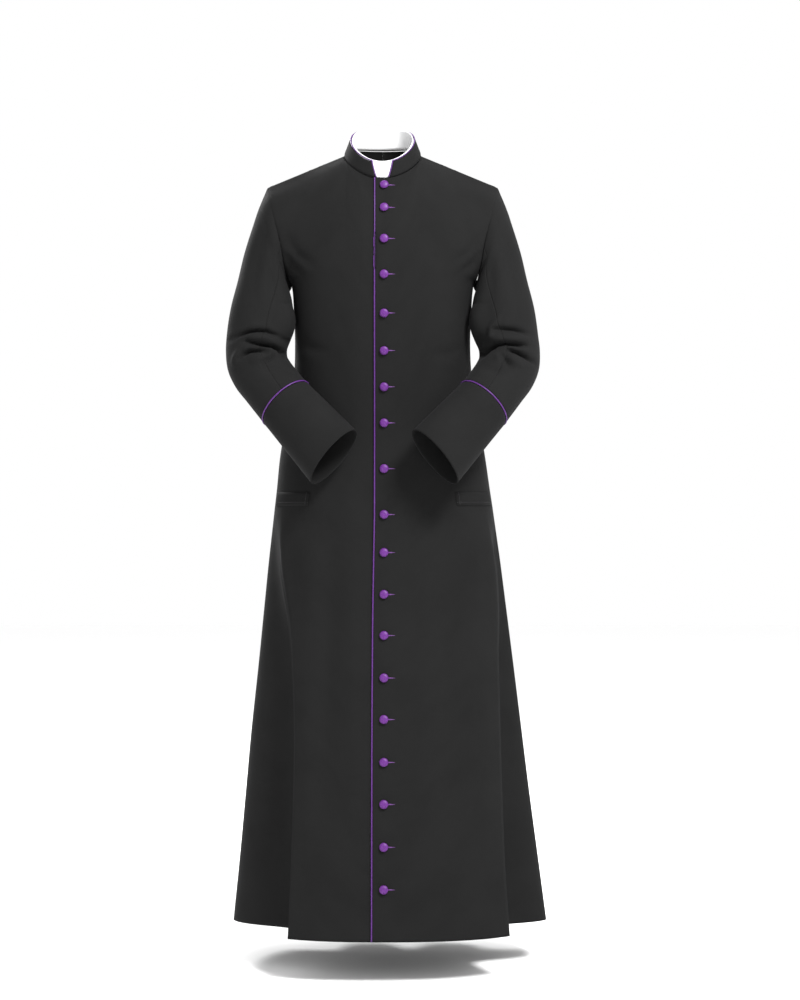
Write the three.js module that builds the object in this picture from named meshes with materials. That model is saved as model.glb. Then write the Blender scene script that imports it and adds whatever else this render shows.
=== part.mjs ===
// A full-length cassock, worn and hollow: two lapped fronts, two backs, two-piece sleeves bent at the
// elbow, deep piped cuffs, a standing collar with a white insert, pocket welts and nineteen buttons.
// Millimetres, +Z up. The origin is the centre of the neck base, at the height of the shoulder-neck
// points. The fronts face -Y and +X is the wearer's left.
import * as THREE from 'three';

// ---- driving dimensions -------------------------------------------------------------------------
const CLOTH = 1.5;             // wall of the body, sleeves and welts
const SEAM = 0.18;             // each edge stands this far back from its seam line
const SHARED_TURN = 0.3;       // neighbours whose normals turn more than this share no mitre
const PIPING_RADIUS = 1.35;
const PIPING_ROOM = PIPING_RADIUS + 0.45; // an edge next to piping stands this far back
const LAP_EDGE_X = 12.5;       // the lapping front ends this far past the centre
const UNDERLAP_INSET = 2.6;    // the other front runs this far below it
const UNDERLAP_SHARES = [1, 1, 1, 1, 0.5]; // of that inset, column by column from its edge
const COLUMNS = 14;            // columns of one quarter of the body, centre line to side seam
const NECK_COLUMNS = 6;        // of them, those along the neckline
const ROUNDNESS = 2.4;         // exponent of the body's sections, 2 is an ellipse

const NECK = { halfWidth: 73.5, front: 80, back: 70 };
const SHOULDER_TIP = new THREE.Vector3(218, 4, -59);
const SHOULDER_ROUND = 0.4;    // how much flatter the cloth runs over the middle of the shoulder
const CHEST_Z = -250;

// Rows from the shoulder to the chest. centre and arm are shares of the way down to the chest line
// at the centre lines and the armhole; the rest are the body's depths and the armhole's route.
const YOKE = [
  { centre: 0.00, arm: 0.00, frontDepth: 80, backDepth: 70, armX: 218, armFrontY: 4, armBackY: 4 },
  { centre: 0.15, arm: 0.15, frontDepth: 92, backDepth: 86, armX: 212, armFrontY: -36, armBackY: 42 },
  { centre: 0.30, arm: 0.32, frontDepth: 103, backDepth: 99, armX: 205, armFrontY: -56, armBackY: 62 },
  { centre: 0.45, arm: 0.48, frontDepth: 111, backDepth: 108, armX: 197, armFrontY: -64, armBackY: 72 },
  { centre: 0.60, arm: 0.64, frontDepth: 116, backDepth: 113, armX: 190, armFrontY: -65, armBackY: 74 },
  { centre: 0.75, arm: 0.80, frontDepth: 119, backDepth: 114, armX: 185, armFrontY: -56, armBackY: 65 },
  { centre: 0.88, arm: 0.93, frontDepth: 120, backDepth: 112, armX: 179, armFrontY: -33, armBackY: 40 },
];

// Rows from the chest to the hem: half widths on the wearer's right and left, depths of the front and
// back, and where the fold behind each front panel has its crest, in degrees round from the front.
const SKIRT = [
  { z: CHEST_Z, right: 172, left: 172, front: 120, back: 109, crestRight: 51, crestLeft: 51 },
  { z: -300, right: 168, left: 168, front: 119, back: 102, crestRight: 55, crestLeft: 55 },
  { z: -360, right: 166, left: 166, front: 113, back: 95, crestRight: 60, crestLeft: 60 },
  { z: -430, right: 169, left: 170, front: 107, back: 94, crestRight: 65, crestLeft: 65 },
  { z: -500, right: 182, left: 182, front: 105, back: 103, crestRight: 69, crestLeft: 69 },
  { z: -570, right: 194, left: 194, front: 109, back: 114, crestRight: 72, crestLeft: 72 },
  { z: -639, right: 201, left: 204, front: 116, back: 123, crestRight: 73, crestLeft: 73 },
  { z: -665, right: 204, left: 208, front: 119, back: 127, crestRight: 73, crestLeft: 73 },
  { z: -760, right: 215, left: 222, front: 131, back: 141, crestRight: 67, crestLeft: 74 },
  { z: -860, right: 225, left: 235, front: 145, back: 157, crestRight: 58, crestLeft: 71 },
  { z: -970, right: 236, left: 249, front: 163, back: 175, crestRight: 51.5, crestLeft: 66 },
  { z: -1090, right: 249, left: 264, front: 181, back: 194, crestRight: 46.5, crestLeft: 61.5 },
  { z: -1210, right: 260, left: 279, front: 200, back: 213, crestRight: 43.5, crestLeft: 57.7 },
  { z: -1330, right: 271, left: 295, front: 220, back: 233, crestRight: 41.3, crestLeft: 54.5 },
  { z: -1450, right: 283, left: 311, front: 240, back: 252, crestRight: 39.5, crestLeft: 52.5 },
];

// Folds of the skirt, each a valley that starts at topZ and is depth deep at the hem.
const FOLD = { topZ: -665, depth: 88, behindCrest: 17, behindCrestTop: 8, reach: 1.15 };
const BACK_FOLDS = [
  { topZ: -560, depth: 52, valley: 6, spread: 2.5 },
  { topZ: -430, depth: 74, valley: 0, spread: 2.0 },
];
const CREST_COLUMN = 8;        // columns of a front's crest and of the valley behind it
const VALLEY_COLUMN = 11;

// Rings of the sleeve down the arm, seen from the front: its outer and inner points, the y of its
// middle and its half depth. The armhole itself is the ring before the first.
const SLEEVE = [
  { outerX: 233, outerZ: -94, innerX: 180, innerZ: -264, y: 4, depth: 73 },
  { outerX: 247, outerZ: -136, innerX: 174, innerZ: -277, y: -2, depth: 71 },
  { outerX: 261, outerZ: -184, innerX: 171.5, innerZ: -291, y: -12, depth: 69 },
  { outerX: 273, outerZ: -238, innerX: 168.5, innerZ: -307, y: -25, depth: 66 },
  { outerX: 286, outerZ: -293, innerX: 167, innerZ: -326, y: -36, depth: 62 },
  { outerX: 293, outerZ: -345, innerX: 172, innerZ: -350, y: -43, depth: 60 },
  { outerX: 294, outerZ: -378, innerX: 179, innerZ: -369, y: -50, depth: 59 },
  { outerX: 289.5, outerZ: -411, innerX: 178, innerZ: -386, y: -61, depth: 57 },
  { outerX: 276, outerZ: -440, innerX: 171, innerZ: -398, y: -77, depth: 54 },
  { outerX: 252, outerZ: -471, innerX: 159, innerZ: -413, y: -96, depth: 50 },
  { outerX: 218, outerZ: -513, innerX: 138.4, innerZ: -437, y: -120, depth: 47 },
];
const CUFF = [
  { outerX: 188, outerZ: -550, innerX: 108, innerZ: -467, y: -139, depth: 46.5 },
  { outerX: 158, outerZ: -587, innerX: 77.6, innerZ: -497, y: -157, depth: 46 },
  { outerX: 128, outerZ: -624, innerX: 47.2, innerZ: -527, y: -174, depth: 45 },
];
const ARM = [...SLEEVE, ...CUFF];
const CUFF_START = SLEEVE.length - 1;
const ELBOW_START = 5;
const SLEEVE_COLUMNS = 2 * YOKE.length;
const LEFT_FOREARM_OUT = 9;    // the wearer's left forearm lies this much further out at the cuff
const SLEEVE_FRONT_SEAM = 4;   // columns of the two sleeve seams, counted from the shoulder tip
const SLEEVE_BACK_SEAM = 10;

// notchBase and notchTop are the half widths of the opening at the front of the collar.
const COLLAR = {
  wall: 2, topHalfWidth: 62, topFront: 77, topBack: 66, notchBase: 13, notchTop: 21, rows: 3,
};
const INSERT = { wall: 1, inside: 3.4, above: 5.4 };
const WELT = { topRow: 13, lift: 0.35, firstColumn: 6, lastColumn: 11 };

const BUTTON = { radius: 8.6, rim: 1.6, height: 5.6, lift: 1.3, x: 3.5 };
const BUTTON_Z = [-67, -111, -170, -236, -308, -377, -444, -511, -596, -681,
  -751, -828, -903, -980, -1055, -1132, -1207, -1283, -1358];

const FINISH = {
  cloth: { color: 0x2b2b2c, roughness: 0.85, metalness: 0 },
  purple: { color: 0x7d34a0, roughness: 0.55, metalness: 0 },
  white: { color: 0xf3f3f4, roughness: 0.5, metalness: 0 },
};

// ---- small helpers ------------------------------------------------------------------------------
const rad = THREE.MathUtils.degToRad;
const lerp = THREE.MathUtils.lerp;
const vec = (x, y, z) => new THREE.Vector3(x, y, z);
const range = (first, last) => Array.from({ length: last - first + 1 }, (_, i) => first + i);

function neckPoint(angle) {
  const a = rad(angle);
  const depth = Math.cos(a) > 0 ? NECK.front : NECK.back;
  const z = -8.75 - 35.5 * Math.cos(a) - 8.75 * Math.cos(2 * a);
  return vec(NECK.halfWidth * Math.sin(a), -depth * Math.cos(a), z);
}

// ---- the body's surface -------------------------------------------------------------------------
// A quarter is 'front' or 'back' with side +1 (the wearer's left) or -1. Column 0 is the centre line,
// column COLUMNS the armhole and side seam. Rows run down YOKE and then SKIRT.
const ROWS = YOKE.length + SKIRT.length;

function topEdge(quarter, side, column) {
  const neckShare = Math.min(column / NECK_COLUMNS, 1);
  const angle = quarter === 'front' ? 90 * neckShare : 180 - 90 * neckShare;
  const point = neckPoint(angle);
  if (column > NECK_COLUMNS) {
    point.lerp(SHOULDER_TIP, (column - NECK_COLUMNS) / (COLUMNS - NECK_COLUMNS));
  }
  point.x *= side;
  return point;
}

function sectionRadius(angle, depth, halfWidth) {
  const across = Math.abs(Math.sin(angle)) / halfWidth;
  const along = Math.abs(Math.cos(angle)) / depth;
  return (across ** ROUNDNESS + along ** ROUNDNESS) ** (-1 / ROUNDNESS);
}

function yokeRing(quarter, side, row, column) {
  const facing = quarter === 'front' ? -1 : 1;
  const depth = row[`${quarter}Depth`];
  const armY = quarter === 'front' ? row.armFrontY : row.armBackY;
  const halfWidth = row.armX / (1 - Math.abs(armY / depth) ** ROUNDNESS) ** (1 / ROUNDNESS);
  const angle = Math.atan2(row.armX, facing * armY) * (column / COLUMNS);
  const r = sectionRadius(angle, depth, halfWidth);
  return vec(side * r * Math.sin(angle), facing * r * Math.cos(angle), 0);
}

function yokePoint(quarter, side, index, column) {
  const row = YOKE[index];
  const top = topEdge(quarter, side, column);
  const down = lerp(row.centre, row.arm, column / COLUMNS);
  const point = yokeRing(quarter, side, row, column);
  const fromEdge = top.clone().sub(yokeRing(quarter, side, YOKE[0], column));
  point.addScaledVector(fromEdge, (1 - down) ** 2);
  point.z = lerp(top.z, CHEST_Z, down ** (1 + SHOULDER_ROUND * Math.sin(Math.PI * column / COLUMNS)));
  return point;
}

function growth(z, topZ) {
  const hem = SKIRT[SKIRT.length - 1].z;
  return Math.max(0, (topZ - z) / (topZ - hem));
}

// Angle from the centre front and inward push of a column on a front quarter of the skirt.
function frontStation(row, side, column) {
  const grow = growth(row.z, FOLD.topZ);
  const crest = side > 0 ? row.crestLeft : row.crestRight;
  const even = 90 * VALLEY_COLUMN / COLUMNS;
  const fitted = Math.min(1, (CHEST_Z - row.z) / (CHEST_Z - FOLD.topZ));
  const folded = crest + lerp(FOLD.behindCrestTop, FOLD.behindCrest, grow);
  const valley = lerp(even, folded, fitted);
  const depth = FOLD.depth * grow;
  if (column <= CREST_COLUMN) return { angle: crest * column / CREST_COLUMN, push: 0 };
  if (column <= VALLEY_COLUMN) {
    const share = (column - CREST_COLUMN) / (VALLEY_COLUMN - CREST_COLUMN);
    return { angle: lerp(crest, valley, share), push: depth * Math.sin(share * Math.PI / 2) };
  }
  const share = (column - VALLEY_COLUMN) / (COLUMNS - VALLEY_COLUMN);
  const push = depth * (1 + Math.cos(Math.PI * share ** FOLD.reach)) / 2;
  return { angle: lerp(valley, 90, share), push };
}

function backStation(row, column) {
  let push = 0;
  for (const fold of BACK_FOLDS) {
    const away = Math.abs(column - fold.valley) / fold.spread;
    if (away < 1) push += fold.depth * growth(row.z, fold.topZ) * (1 + Math.cos(Math.PI * away)) / 2;
  }
  return { angle: 90 * column / COLUMNS, push };
}

function skirtPoint(quarter, side, row, column) {
  const station = quarter === 'front' ? frontStation(row, side, column) : backStation(row, column);
  const angle = rad(station.angle);
  const halfWidth = side > 0 ? row.left : row.right;
  const r = sectionRadius(angle, row[quarter], halfWidth) - station.push;
  const facing = quarter === 'front' ? -1 : 1;
  return vec(side * r * Math.sin(angle), facing * r * Math.cos(angle), row.z);
}

function bodyPoint(quarter, side, index, column) {
  if (column < 0) return bodyPoint(quarter, -side, index, -column);
  if (index < YOKE.length) return yokePoint(quarter, side, index, column);
  return skirtPoint(quarter, side, SKIRT[index - YOKE.length], column);
}

// The column, a fraction, at which a front row passes the piped edge.
function lapColumn(side, index) {
  return LAP_EDGE_X / Math.abs(bodyPoint('front', side, index, 1).x);
}

function bodyGrid(quarter, side, columnsOf) {
  return range(0, ROWS - 1).map((index) => columnsOf(index).map((c) => bodyPoint(quarter, side, index, c)));
}

// ---- the sleeves' surface -----------------------------------------------------------------------
function armholeRing(side) {
  const front = range(0, YOKE.length).map((index) => bodyPoint('front', side, index, COLUMNS));
  const back = range(1, YOKE.length - 1).reverse().map((index) => bodyPoint('back', side, index, COLUMNS));
  return [...front, ...back];
}

function ringCentre(ring) {
  return vec((ring.outerX + ring.innerX) / 2, ring.y, (ring.outerZ + ring.innerZ) / 2);
}

function armRing(index, side) {
  const ring = ARM[index];
  const before = ringCentre(ARM[Math.max(index - 1, 0)]);
  const after = ringCentre(ARM[Math.min(index + 1, ARM.length - 1)]);
  const along = after.sub(before).normalize();
  const width = vec(ring.outerX - ring.innerX, 0, ring.outerZ - ring.innerZ).multiplyScalar(0.5);
  const forward = vec(0, -1, 0);
  forward.addScaledVector(along, -forward.dot(along));
  const across = width.clone().normalize();
  forward.addScaledVector(across, -forward.dot(across)).normalize();
  const bent = THREE.MathUtils.clamp((index - ELBOW_START) / (CUFF_START - ELBOW_START), 0, 1);
  const shift = side > 0 ? LEFT_FOREARM_OUT * bent : 0;
  return range(0, SLEEVE_COLUMNS - 1).map((column) => {
    const angle = 2 * Math.PI * column / SLEEVE_COLUMNS;
    const point = ringCentre(ring).addScaledVector(width, Math.cos(angle));
    point.addScaledVector(forward, ring.depth * Math.sin(angle));
    return vec(side * (point.x + shift), point.y, point.z);
  });
}

function sleeveGrid(side) {
  return [armholeRing(side), ...range(0, CUFF_START).map((index) => armRing(index, side))];
}

function cuffGrid(side) {
  return range(CUFF_START, ARM.length - 1).map((index) => armRing(index, side));
}

// ---- solids from grids --------------------------------------------------------------------------
// A grid is rows of points. Its outside is where (next column) x (next row) points, times facing.
function faceNormals(grid, facing, closed, sums) {
  const columns = grid[0].length;
  const cells = closed ? columns : columns - 1;
  for (let i = 0; i + 1 < grid.length; i += 1) {
    for (let j = 0; j < cells; j += 1) {
      const next = (j + 1) % columns;
      const corners = [grid[i][j], grid[i][next], grid[i + 1][next], grid[i + 1][j]];
      const normal = corners[2].clone().sub(corners[0]).cross(corners[3].clone().sub(corners[1]));
      normal.multiplyScalar(facing);
      for (const corner of corners) sums(corner).add(normal);
    }
  }
}

const pointKey = (p) => [p.x, p.y, p.z].map((v) => Math.round(v * 50)).join();

// The unit normal at any grid point; where pieces meet, each counts the same.
function normalMap(pieces) {
  const total = new Map();
  for (const piece of pieces) {
    const own = new Map();
    faceNormals(piece.grid, piece.facing, piece.closed, (p) => {
      const key = pointKey(p);
      if (!own.has(key)) own.set(key, vec(0, 0, 0));
      return own.get(key);
    });
    own.forEach((sum, key) => total.set(key, (total.get(key) ?? vec(0, 0, 0)).add(sum.normalize())));
  }
  return (p) => total.get(pointKey(p)).clone().normalize();
}

// Inward direction at each point: shared with the neighbours where they run on, its own where the two
// surfaces turn back on each other, as under the arm.
function inwardGrid(piece, shared) {
  const own = normalMap([piece]);
  return piece.grid.map((row) => row.map((p) => {
    const mine = own(p);
    const both = shared(p);
    const turn = both.dot(mine);
    return turn > SHARED_TURN ? both.multiplyScalar(-1 / turn) : mine.multiplyScalar(-1);
  }));
}

function pulledBack(grid, gaps, closed) {
  const out = grid.map((row) => row.map((p) => p.clone()));
  const lastRow = grid.length - 1;
  const lastColumn = grid[0].length - 1;
  const pull = (i, j, di, dj, gap) => {
    if (!gap) return;
    const inward = grid[i + di][j + dj].clone().sub(grid[i][j]);
    const wrap = (k) => {
      if (closed) return (k + lastColumn + 1) % (lastColumn + 1);
      return THREE.MathUtils.clamp(k, 0, lastColumn);
    };
    const ahead = di ? grid[i][wrap(j + 1)] : grid[Math.min(i + 1, lastRow)][j];
    const behind = di ? grid[i][wrap(j - 1)] : grid[Math.max(i - 1, 0)][j];
    const edge = ahead.clone().sub(behind).normalize();
    inward.addScaledVector(edge, -inward.dot(edge)).normalize();
    out[i][j].addScaledVector(inward, gap);
  };
  range(0, lastColumn).forEach((j) => {
    pull(0, j, 1, 0, gaps.top);
    pull(lastRow, j, -1, 0, gaps.bottom);
  });
  if (!closed) {
    range(0, lastRow).forEach((i) => {
      pull(i, 0, 0, 1, gaps.first);
      pull(i, lastColumn, 0, -1, gaps.last);
    });
  }
  return out;
}

function solidFrom(outer, inner, facing, closed) {
  const rows = outer.length;
  const columns = outer[0].length;
  const positions = [...outer.flat(), ...inner.flat()].flatMap((p) => [p.x, p.y, p.z]);
  const at = (i, j, layer) => layer * rows * columns + i * columns + (j % columns);
  const index = [];
  const quad = (a, b, c, d) => index.push(...(facing > 0 ? [a, b, c, a, c, d] : [a, c, b, a, d, c]));
  const cells = closed ? columns : columns - 1;
  for (let i = 0; i + 1 < rows; i += 1) {
    for (let j = 0; j < cells; j += 1) {
      quad(at(i, j, 0), at(i, j + 1, 0), at(i + 1, j + 1, 0), at(i + 1, j, 0));
      quad(at(i, j, 1), at(i + 1, j, 1), at(i + 1, j + 1, 1), at(i, j + 1, 1));
    }
  }
  for (let j = 0; j < cells; j += 1) {
    quad(at(0, j, 1), at(0, j + 1, 1), at(0, j + 1, 0), at(0, j, 0));
    quad(at(rows - 1, j, 0), at(rows - 1, j + 1, 0), at(rows - 1, j + 1, 1), at(rows - 1, j, 1));
  }
  const end = columns - 1;
  for (let i = 0; i + 1 < rows && !closed; i += 1) {
    quad(at(i, 0, 1), at(i, 0, 0), at(i + 1, 0, 0), at(i + 1, 0, 1));
    quad(at(i, end, 0), at(i, end, 1), at(i + 1, end, 1), at(i + 1, end, 0));
  }
  const geometry = new THREE.BufferGeometry();
  geometry.setAttribute('position', new THREE.Float32BufferAttribute(positions, 3));
  geometry.setIndex(index);
  return geometry;
}

// distance may be a number or, column by column, a list.
function moved(grid, directions, distance) {
  const by = (j) => (Array.isArray(distance) ? distance[j] ?? 0 : distance);
  return grid.map((row, i) => row.map((p, j) => p.clone().addScaledVector(directions[i][j], by(j))));
}

function clothWall(piece, shared) {
  const inward = inwardGrid(piece, shared);
  const outer = moved(pulledBack(piece.grid, piece.gaps, piece.closed), inward, piece.inset ?? 0);
  return solidFrom(outer, moved(outer, inward, piece.wall ?? CLOTH), piece.facing, piece.closed);
}

// A round cord through points, each with its two section directions.
function cordSolid(path, closed) {
  const sides = 6;
  const rings = path.map(({ centre, u, v }) => range(0, sides - 1).map((k) => {
    const angle = 2 * Math.PI * k / sides;
    const point = centre.clone().addScaledVector(u, PIPING_RADIUS * Math.cos(angle));
    return point.addScaledVector(v, PIPING_RADIUS * Math.sin(angle));
  }));
  const positions = rings.flat().flatMap((p) => [p.x, p.y, p.z]);
  const index = [];
  const count = closed ? rings.length : rings.length - 1;
  for (let i = 0; i < count; i += 1) {
    const next = (i + 1) % rings.length;
    for (let k = 0; k < sides; k += 1) {
      const [a, b] = [i * sides + k, i * sides + (k + 1) % sides];
      const [c, d] = [next * sides + (k + 1) % sides, next * sides + k];
      index.push(a, b, c, a, c, d);
    }
  }
  if (!closed) {
    const end = (rings.length - 1) * sides;
    for (let k = 1; k + 1 < sides; k += 1) index.push(0, k + 1, k, end, end + k, end + k + 1);
  }
  const geometry = new THREE.BufferGeometry();
  geometry.setAttribute('position', new THREE.Float32BufferAttribute(positions, 3));
  geometry.setIndex(outwardIndex(positions, index));
  return geometry;
}

// The same triangles, all turned over if they enclose a negative volume.
function outwardIndex(positions, index) {
  const corner = (k) => vec(positions[3 * k], positions[3 * k + 1], positions[3 * k + 2]);
  let volume = 0;
  for (let k = 0; k < index.length; k += 3) {
    const [a, b, c] = [corner(index[k]), corner(index[k + 1]), corner(index[k + 2])];
    volume += a.dot(b.cross(c));
  }
  return volume > 0 ? index : [...index].reverse();
}

// ---- the pieces ---------------------------------------------------------------------------------
const group = new THREE.Group();

function add(name, geometry, finish) {
  const mesh = new THREE.Mesh(geometry, new THREE.MeshStandardMaterial(FINISH[finish]));
  mesh.name = name;
  group.add(mesh);
}

const sideName = (side) => (side > 0 ? 'left' : 'right');
const seams = { top: SEAM, bottom: SEAM, first: SEAM, last: SEAM };

function frontPiece(side) {
  const lap = side > 0;
  const columnsOf = (index) => {
    const edge = lapColumn(-side, index);
    const lapped = lap ? [-edge, 0] : [-1, 0, lapColumn(side, index)];
    return [...lapped, ...range(1, COLUMNS)];
  };
  const gaps = { ...seams, first: 0, bottom: 0 };
  const inset = lap ? 0 : UNDERLAP_SHARES.map((share) => share * UNDERLAP_INSET);
  const grid = bodyGrid('front', side, columnsOf);
  return { name: `front_${sideName(side)}`, grid, facing: -side, gaps, inset };
}

function backPiece(side) {
  const grid = bodyGrid('back', side, () => range(0, COLUMNS));
  return { name: `back_${sideName(side)}`, grid, facing: side, gaps: { ...seams, bottom: 0 } };
}

function sleevePiece(side, layer) {
  const columns = layer === 'under' ? range(SLEEVE_FRONT_SEAM, SLEEVE_BACK_SEAM)
    : [...range(SLEEVE_BACK_SEAM, SLEEVE_COLUMNS - 1), ...range(0, SLEEVE_FRONT_SEAM)];
  const grid = sleeveGrid(side).map((ring) => columns.map((c) => ring[c]));
  const gaps = { ...seams, bottom: PIPING_ROOM };
  return { name: `sleeve_${layer}_${sideName(side)}`, grid, facing: side, gaps };
}

function cuffPiece(side) {
  return { name: `cuff_${sideName(side)}`, grid: cuffGrid(side), facing: side, closed: true,
    gaps: { top: PIPING_ROOM, bottom: 0 } };
}

const fronts = { 1: frontPiece(1), [-1]: frontPiece(-1) };
const bodyPieces = [1, -1].flatMap((side) => [
  fronts[side], backPiece(side), sleevePiece(side, 'upper'), sleevePiece(side, 'under'), cuffPiece(side),
]);
const shared = normalMap(bodyPieces);
for (const piece of bodyPieces) add(piece.name, clothWall(piece, shared), 'cloth');

function cuffPiping(side) {
  const [ring, next] = cuffGrid(side);
  const outward = normalMap([cuffPiece(side)]);
  const path = ring.map((p, i) => ({ centre: p, u: outward(p), v: next[i].clone().sub(p).normalize() }));
  add(`cuff_piping_${sideName(side)}`, cordSolid(path, true), 'purple');
}

function frontPiping() {
  const { grid } = fronts[1];
  const outward = normalMap([fronts[1]]);
  const path = grid.map((row) => {
    const u = outward(row[0]);
    const v = row[0].clone().sub(row[1]).normalize();
    return { centre: row[0].clone().addScaledVector(v, PIPING_ROOM).addScaledVector(u, -0.3), u, v };
  });
  add('front_edge_piping', cordSolid(path, false), 'purple');
}

function welt(side) {
  const whole = fronts[side];
  const skip = side > 0 ? 1 : 2;
  const rows = range(WELT.topRow, WELT.topRow + 1);
  const outward = normalMap([whole]);
  const columns = range(WELT.firstColumn + skip, WELT.lastColumn + skip);
  const grid = rows.map((i) => columns.map((j) => whole.grid[i][j]));
  const lifts = grid.map((row) => row.map((p) => outward(p)));
  const inner = moved(grid, lifts, WELT.lift);
  const outer = moved(grid, lifts, WELT.lift + CLOTH);
  add(`pocket_welt_${sideName(side)}`, solidFrom(outer, inner, whole.facing, false), 'cloth');
}

// ---- the collar ---------------------------------------------------------------------------------
const COLLAR_ANGLES = range(-11, 11).map((k) => 15 * k);

function collarTop(angle) {
  const a = rad(angle);
  const depth = Math.cos(a) > 0 ? COLLAR.topFront : COLLAR.topBack;
  const z = 23 - 41 * Math.cos(a) - 6 * Math.cos(2 * a);
  return vec(COLLAR.topHalfWidth * Math.sin(a), -depth * Math.cos(a), z);
}

function collarPoint(angle, share) {
  return neckPoint(angle).lerp(collarTop(angle), share);
}

// Columns go round from one side of the notch, over the back, to the other.
function collarGrid() {
  const base = THREE.MathUtils.radToDeg(Math.asin(COLLAR.notchBase / NECK.halfWidth));
  const top = THREE.MathUtils.radToDeg(Math.asin(COLLAR.notchTop / COLLAR.topHalfWidth));
  return range(0, COLLAR.rows).map((i) => {
    const share = i / COLLAR.rows;
    const notch = lerp(base, top, share);
    const round = range(2, 22).map((k) => 15 * k);
    return [notch, ...round, 360 - notch].map((angle) => collarPoint(angle, share));
  });
}

const collar = { grid: collarGrid(), facing: 1, gaps: { top: 0.8 }, wall: COLLAR.wall };

function collarPiping() {
  const outward = normalMap([collar]);
  const { grid } = collar;
  const lastRow = grid.length - 1;
  const lastColumn = grid[0].length - 1;
  // Beside the edge point i, j, on the side away from its neighbour inside the collar.
  const edge = (i, j, fromI, fromJ) => {
    const u = outward(grid[i][j]);
    const v = grid[i][j].clone().sub(grid[fromI][fromJ]).normalize();
    const centre = grid[i][j].clone().addScaledVector(u, -COLLAR.wall / 2);
    return { centre: centre.addScaledVector(v, PIPING_ROOM), u, v };
  };
  const foot = (j, inside) => {
    const end = edge(0, j, 0, inside);
    end.centre.addScaledVector(grid[1][j].clone().sub(grid[0][j]).normalize(), PIPING_ROOM);
    return end;
  };
  const corner = (j, inside) => {
    const first = edge(lastRow, j, lastRow, inside);
    const second = edge(lastRow, j, lastRow - 1, j);
    first.v.add(second.v).normalize();
    first.centre = grid[lastRow][j].clone().addScaledVector(first.u, -COLLAR.wall / 2);
    first.centre.addScaledVector(first.v, PIPING_ROOM * 1.35);
    return first;
  };
  const upOneSide = range(1, lastRow - 1).map((i) => edge(i, 0, i, 1));
  const along = range(1, lastColumn - 1).map((j) => edge(lastRow, j, lastRow - 1, j));
  const downTheOther = range(1, lastRow - 1).reverse().map((i) => edge(i, lastColumn, i, lastColumn - 1));
  const path = [
    foot(0, 1), ...upOneSide, corner(0, 1), ...along,
    corner(lastColumn, lastColumn - 1), ...downTheOther, foot(lastColumn, lastColumn - 1),
  ];
  add('collar_piping', cordSolid(path, false), 'purple');
}

function collarInsert() {
  const shares = [0.06, 0.5, 1 + INSERT.above / 40];
  const grid = shares.map((share) => range(0, 23).map((k) => collarPoint(15 * k, share)));
  const piece = { grid, facing: 1, closed: true, gaps: {}, wall: INSERT.wall, inset: INSERT.inside };
  add('collar_insert', clothWall(piece, normalMap([piece])), 'white');
}

// ---- the buttons --------------------------------------------------------------------------------
function buttonGeometry() {
  const profile = [[0, 0], [BUTTON.radius - 1.2, 0], [BUTTON.radius, BUTTON.rim]];
  const steps = 3;
  for (let k = 1; k <= steps; k += 1) {
    const a = (Math.PI / 2) * k / steps;
    profile.push([BUTTON.radius * Math.cos(a), BUTTON.rim + (BUTTON.height - BUTTON.rim) * Math.sin(a)]);
  }
  profile[profile.length - 1][0] = 0;
  return new THREE.LatheGeometry(profile.map(([r, h]) => new THREE.Vector2(r, h)), 12);
}

// Where the lapping front stands at a height, on the line of the buttons, and which way it faces.
function frontAt(z) {
  const { grid } = fronts[1];
  const row = range(0, ROWS - 2).find((i) => grid[i + 1][1].z <= z);
  const share = (z - grid[row][1].z) / (grid[row + 1][1].z - grid[row][1].z);
  const at = grid[row][1].clone().lerp(grid[row + 1][1], share);
  const down = grid[row + 1][1].clone().sub(grid[row][1]);
  return { at: at.setX(BUTTON.x), outward: down.cross(vec(1, 0, 0)).normalize() };
}

function button(z, number) {
  const { at, outward } = frontAt(z);
  const geometry = buttonGeometry();
  const mesh = new THREE.Mesh(geometry, new THREE.MeshStandardMaterial(FINISH.purple));
  mesh.name = `button_${String(number).padStart(2, '0')}`;
  mesh.quaternion.setFromUnitVectors(vec(0, 1, 0), outward);
  mesh.position.copy(at).addScaledVector(outward, BUTTON.lift);
  group.add(mesh);
}

add('collar', clothWall(collar, normalMap([collar])), 'cloth');
collarPiping();
collarInsert();
frontPiping();
for (const side of [1, -1]) {
  cuffPiping(side);
  welt(side);
}
BUTTON_Z.forEach((z, i) => button(z, i + 1));

export default group;
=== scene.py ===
"""A black wool cassock with purple piping, buttons and buttonholes, hanging as it is worn.

Lengths are in millimetres until a mesh is made. The frame's origin is the centre of the neck base,
the fronts face -Y and +X is the wearer's left. The cloth is worked out as a few smooth surfaces
through rows and rings, cut into its sewn pieces, creased and given its thickness."""
import math
from collections import namedtuple

import bpy
import numpy as np
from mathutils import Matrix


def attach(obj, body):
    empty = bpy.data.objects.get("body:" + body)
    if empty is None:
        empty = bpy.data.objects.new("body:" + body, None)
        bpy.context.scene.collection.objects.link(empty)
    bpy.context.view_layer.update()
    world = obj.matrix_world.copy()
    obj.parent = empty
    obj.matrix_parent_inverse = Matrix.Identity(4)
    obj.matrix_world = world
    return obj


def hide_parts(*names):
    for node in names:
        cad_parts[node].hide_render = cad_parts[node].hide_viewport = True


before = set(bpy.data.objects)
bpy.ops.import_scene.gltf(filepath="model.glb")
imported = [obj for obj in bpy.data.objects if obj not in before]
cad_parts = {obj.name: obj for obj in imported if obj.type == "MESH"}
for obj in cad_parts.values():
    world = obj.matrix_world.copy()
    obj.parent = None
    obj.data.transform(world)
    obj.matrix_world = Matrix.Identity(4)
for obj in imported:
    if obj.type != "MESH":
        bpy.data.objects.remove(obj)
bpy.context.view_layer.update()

MM = 0.001
BODY = "root"
SEWN = "sewn_"         # every piece's name starts with this

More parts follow.
